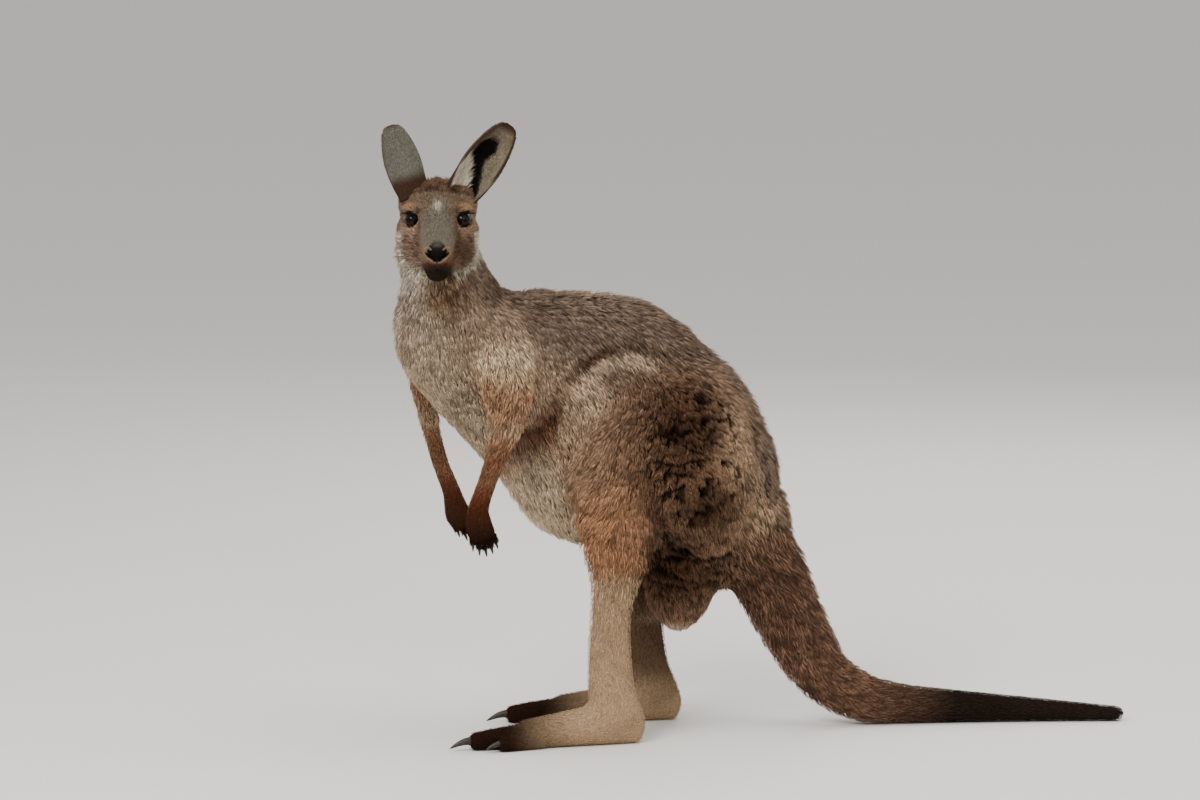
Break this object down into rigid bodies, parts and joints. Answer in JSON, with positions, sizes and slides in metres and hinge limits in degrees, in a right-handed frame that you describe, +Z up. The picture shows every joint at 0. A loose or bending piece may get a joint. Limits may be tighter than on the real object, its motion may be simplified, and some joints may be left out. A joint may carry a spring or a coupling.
{
  "type": "western grey kangaroo (Macropus fuliginosus), still model",
  "caption": "Life-size still kangaroo standing on its hind feet and tail, hands hanging, head turned to its left.",
  "frame": {"origin": "on the floor, below the middle of the whole box", "axes": "+Y from the chest to the tail, +X to the animal's left, +Z up. The hips face -Y and the face looks to +X"},
  "size_m": [0.3654, 1.1686, 0.9573],
  "materials": {
    "body_fur": "woolly grizzled grey-brown fur, paler on the chest and belly",
    "head_fur": "short reddish-brown and grey fur, with a dark hairless nose",
    "ear_fur": "short grey fur outside, pale hairs round a dark hollow inside",
    "limb_fur": "short buff to rusty fur",
    "hand_fur": "short dark brown to black fur with dark pads",
    "tail_fur": "short brown fur, black towards the tip",
    "eye": "wet, glossy dark brown",
    "claw": "dark horn, half matt"
  },
  "bodies": {
    "root": {"belly": "body_fur", "chest": "body_fur", "claw_foot_left_2": "claw", "claw_foot_left_3": "claw", "claw_foot_left_4": "claw", "claw_foot_left_5": "claw", "claw_foot_right_2": "claw", "claw_foot_right_3": "claw", "claw_foot_right_4": "claw", "claw_foot_right_5": "claw", "claw_hand_left_1": "claw", "claw_hand_left_2": "claw", "claw_hand_left_3": "claw", "claw_hand_left_4": "claw", "claw_hand_left_5": "claw", "claw_hand_right_1": "claw", "claw_hand_right_2": "claw", "claw_hand_right_3": "claw", "claw_hand_right_4": "claw", "claw_hand_right_5": "claw", "ear_left": "ear_fur", "ear_right": "ear_fur", "eye_left": "eye", "eye_right": "eye", "foot_left": "hand_fur", "foot_right": "hand_fur", "forearm_left": "limb_fur", "forearm_right": "limb_fur", "hand_left": "hand_fur", "hand_right": "hand_fur", "head": "head_fur", "neck": "body_fur", "rump": "body_fur", "shank_left": "limb_fur", "shank_right": "limb_fur", "tail_base": "tail_fur", "tail_end": "tail_fur", "tail_middle": "tail_fur", "tail_tip": "tail_fur", "thigh_left": "body_fur", "thigh_right": "body_fur", "toe_4_left": "hand_fur", "toe_4_right": "hand_fur", "toe_5_left": "hand_fur", "toe_5_right": "hand_fur", "toes_2_3_left": "hand_fur", "toes_2_3_right": "hand_fur", "upper_arm_left": "body_fur", "upper_arm_right": "body_fur"}
  },
  "joints": []
}
